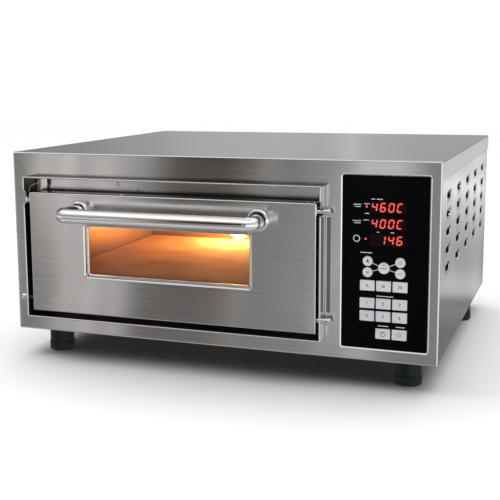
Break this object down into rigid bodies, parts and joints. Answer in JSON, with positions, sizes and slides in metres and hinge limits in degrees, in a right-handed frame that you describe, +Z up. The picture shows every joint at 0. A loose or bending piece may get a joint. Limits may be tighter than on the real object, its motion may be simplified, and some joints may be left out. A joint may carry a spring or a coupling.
{
  "type": "deck oven",
  "caption": "Countertop deck oven: stainless casing, stone-floored baking chamber, drop-down glazed door with bow handle, digital control panel, adjustable feet.",
  "frame": {"origin": "centre of the overall box's underside, on the surface the feet stand on", "axes": "+Z up, front faces -Y, +X to the right seen from the front"},
  "size_m": [0.635, 0.6456, 0.31],
  "materials": {
    "brushed_stainless": "fine straight brushed grain, satin",
    "chamber_steel": "rolled sheet, lightly heat tinted",
    "polished_chrome": "mirror polished",
    "pin_steel": "turned, bright",
    "black_gloss": "glossy printed film",
    "key_plastic": "satin, pale grey",
    "display_window": "smoked red window with lit digits",
    "foot_plastic": "moulded, blue-black",
    "cordierite": "fine porous, unglazed",
    "door_glass": "clear, polished",
    "lamp_glass": "clear dome, lit from behind",
    "seal_rubber": "matt black",
    "element_sheath": "oxidised sheath",
    "insulation_wool": "ceramic wool",
    "lamp_ceramic": "unglazed",
    "circuit_board": "lacquered",
    "relay_aluminium": "extruded",
    "fan_plastic": "moulded, black",
    "gland_plastic": "moulded, black"
  },
  "bodies": {
    "casing": {"base_pan": "brushed_stainless", "top_cover": "brushed_stainless", "side_panel_left": "brushed_stainless", "side_panel_right": "brushed_stainless", "back_panel": "brushed_stainless", "front_fascia": "brushed_stainless", "compartment_wall": "brushed_stainless", "door_surround": "brushed_stainless", "chamber_liner": "chamber_steel", "baking_stone": "cordierite", "element_upper": "element_sheath", "element_lower": "element_sheath", "insulation_jacket": "insulation_wool", "insulation_floor": "insulation_wool", "lamp_socket": "lamp_ceramic", "lamp_lens": "lamp_glass", "probe_upper": "pin_steel", "probe_lower": "pin_steel", "control_bezel": "brushed_stainless", "control_overlay": "black_gloss", "display_upper": "display_window", "display_lower": "display_window", "display_timer": "display_window", "control_board": "circuit_board", "power_relay": "relay_aluminium", "fan_frame": "fan_plastic", "cable_gland": "gland_plastic"},
    "door": {"door_skin": "brushed_stainless", "door_back": "brushed_stainless", "door_glass_front": "door_glass", "door_glass_back": "door_glass", "window_seal": "seal_rubber", "handle_bar": "polished_chrome", "handle_rosette_left": "polished_chrome", "handle_rosette_right": "polished_chrome", "pivot_pin_left": "pin_steel", "pivot_pin_right": "pin_steel", "catch_pin_left": "pin_steel", "catch_pin_right": "pin_steel"},
    "key_centre": {"key_centre": "key_plastic"},
    "key_upper_left": {"key_upper_left": "key_plastic"},
    "key_upper_right": {"key_upper_right": "key_plastic"},
    "key_lower_left": {"key_lower_left": "key_plastic"},
    "key_lower_right": {"key_lower_right": "key_plastic"},
    "key_program_a": {"key_program_a": "key_plastic"},
    "key_program_b": {"key_program_b": "key_plastic"},
    "key_30": {"key_30": "key_plastic"},
    "key_1": {"key_1": "key_plastic"},
    "key_2": {"key_2": "key_plastic"},
    "key_3": {"key_3": "key_plastic"},
    "key_4": {"key_4": "key_plastic"},
    "key_5": {"key_5": "key_plastic"},
    "key_6": {"key_6": "key_plastic"},
    "key_power": {"key_power": "key_plastic"},
    "key_light": {"key_light": "key_plastic"},
    "fan": {"fan_rotor": "fan_plastic"},
    "foot_front_left": {"foot_front_left": "foot_plastic"},
    "foot_front_right": {"foot_front_right": "foot_plastic"},
    "foot_back_left": {"foot_back_left": "foot_plastic"},
    "foot_back_right": {"foot_back_right": "foot_plastic"}
  },
  "joints": [
    {"name": "door_hinge", "type": "hinge", "parent": "casing", "child": "door", "pos_m": [-0.062, -0.2602, 0.093], "axis": [1, 0, 0], "range_deg": [0, 90]},
    {"name": "key_centre_press", "type": "slide", "parent": "casing", "child": "key_centre", "axis": [0, 1, 0], "range_m": [0, 0.0005], "stiffness_N_per_m": 1500, "springref_m": -0.001},
    {"name": "key_upper_left_press", "type": "slide", "parent": "casing", "child": "key_upper_left", "axis": [0, 1, 0], "range_m": [0, 0.0005], "stiffness_N_per_m": 1500, "springref_m": -0.001},
    {"name": "key_upper_right_press", "type": "slide", "parent": "casing", "child": "key_upper_right", "axis": [0, 1, 0], "range_m": [0, 0.0005], "stiffness_N_per_m": 1500, "springref_m": -0.001},
    {"name": "key_lower_left_press", "type": "slide", "parent": "casing", "child": "key_lower_left", "axis": [0, 1, 0], "range_m": [0, 0.0005], "stiffness_N_per_m": 1500, "springref_m": -0.001},
    {"name": "key_lower_right_press", "type": "slide", "parent": "casing", "child": "key_lower_right", "axis": [0, 1, 0], "range_m": [0, 0.0005], "stiffness_N_per_m": 1500, "springref_m": -0.001},
    {"name": "key_program_a_press", "type": "slide", "parent": "casing", "child": "key_program_a", "axis": [0, 1, 0], "range_m": [0, 0.0005], "stiffness_N_per_m": 1500, "springref_m": -0.001},
    {"name": "key_program_b_press", "type": "slide", "parent": "casing", "child": "key_program_b", "axis": [0, 1, 0], "range_m": [0, 0.0005], "stiffness_N_per_m": 1500, "springref_m": -0.001},
    {"name": "key_30_press", "type": "slide", "parent": "casing", "child": "key_30", "axis": [0, 1, 0], "range_m": [0, 0.0005], "stiffness_N_per_m": 1500, "springref_m": -0.001},
    {"name": "key_1_press", "type": "slide", "parent": "casing", "child": "key_1", "axis": [0, 1, 0], "range_m": [0, 0.0005], "stiffness_N_per_m": 1500, "springref_m": -0.001},
    {"name": "key_2_press", "type": "slide", "parent": "casing", "child": "key_2", "axis": [0, 1, 0], "range_m": [0, 0.0005], "stiffness_N_per_m": 1500, "springref_m": -0.001},
    {"name": "key_3_press", "type": "slide", "parent": "casing", "child": "key_3", "axis": [0, 1, 0], "range_m": [0, 0.0005], "stiffness_N_per_m": 1500, "springref_m": -0.001},
    {"name": "key_4_press", "type": "slide", "parent": "casing", "child": "key_4", "axis": [0, 1, 0], "range_m": [0, 0.0005], "stiffness_N_per_m": 1500, "springref_m": -0.001},
    {"name": "key_5_press", "type": "slide", "parent": "casing", "child": "key_5", "axis": [0, 1, 0], "range_m": [0, 0.0005], "stiffness_N_per_m": 1500, "springref_m": -0.001},
    {"name": "key_6_press", "type": "slide", "parent": "casing", "child": "key_6", "axis": [0, 1, 0], "range_m": [0, 0.0005], "stiffness_N_per_m": 1500, "springref_m": -0.001},
    {"name": "key_power_press", "type": "slide", "parent": "casing", "child": "key_power", "axis": [0, 1, 0], "range_m": [0, 0.0005], "stiffness_N_per_m": 1500, "springref_m": -0.001},
    {"name": "key_light_press", "type": "slide", "parent": "casing", "child": "key_light", "axis": [0, 1, 0], "range_m": [0, 0.0005], "stiffness_N_per_m": 1500, "springref_m": -0.001},
    {"name": "fan_spin", "type": "hinge", "parent": "casing", "child": "fan", "pos_m": [0.2475, 0.2838, 0.2], "axis": [0, 1, 0], "continuous": true},
    {"name": "foot_front_left_thread", "type": "slide", "parent": "casing", "child": "foot_front_left", "axis": [0, 0, -1], "range_m": [0, 0.015]},
    {"name": "foot_front_right_thread", "type": "slide", "parent": "casing", "child": "foot_front_right", "axis": [0, 0, -1], "range_m": [0, 0.015]},
    {"name": "foot_back_left_thread", "type": "slide", "parent": "casing", "child": "foot_back_left", "axis": [0, 0, -1], "range_m": [0, 0.015]},
    {"name": "foot_back_right_thread", "type": "slide", "parent": "casing", "child": "foot_back_right", "axis": [0, 0, -1], "range_m": [0, 0.015]}
  ]
}
